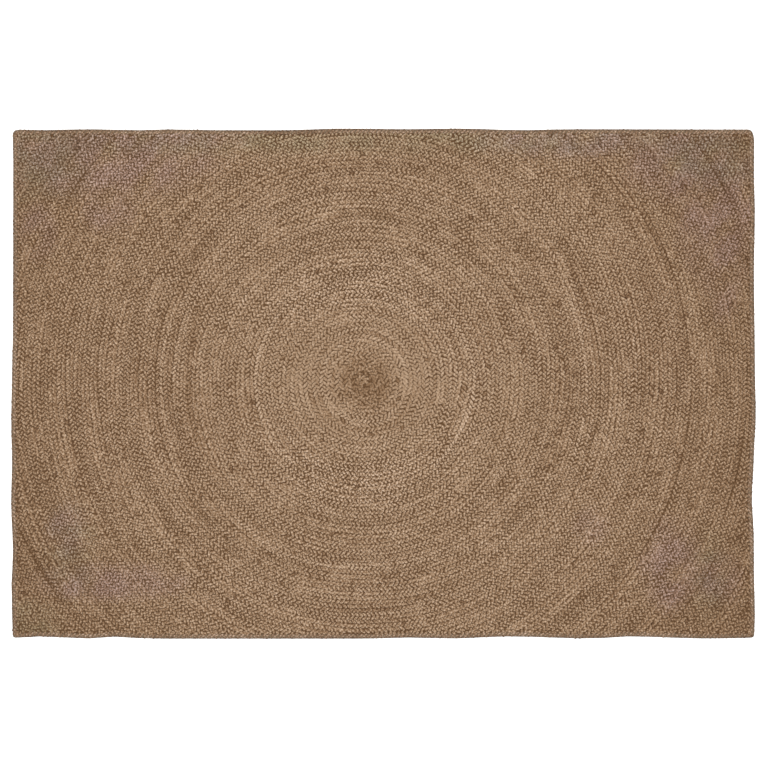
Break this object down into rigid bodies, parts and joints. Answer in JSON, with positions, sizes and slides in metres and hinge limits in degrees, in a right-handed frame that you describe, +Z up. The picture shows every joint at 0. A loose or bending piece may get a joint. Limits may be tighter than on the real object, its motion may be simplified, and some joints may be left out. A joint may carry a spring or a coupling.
{
  "type": "rectangular braided jute rug",
  "caption": "Flat rectangular floor rug of braided jute, wound in a spiral and bound with a braid sewn round the edge.",
  "frame": {"origin": "under the middle of the rug, on the surface that it lies on", "axes": "+X along the rug's length, +Y across its width, +Z up through its thickness"},
  "size_m": [2.3297, 1.596, 0.0094],
  "materials": {
    "field_jute": "matte braided jute yarn, tan brown",
    "edge_jute": "matte braided jute yarn, a little darker"
  },
  "bodies": {
    "root": {"braided_field": "field_jute", "edge_braid": "edge_jute"}
  },
  "joints": []
}
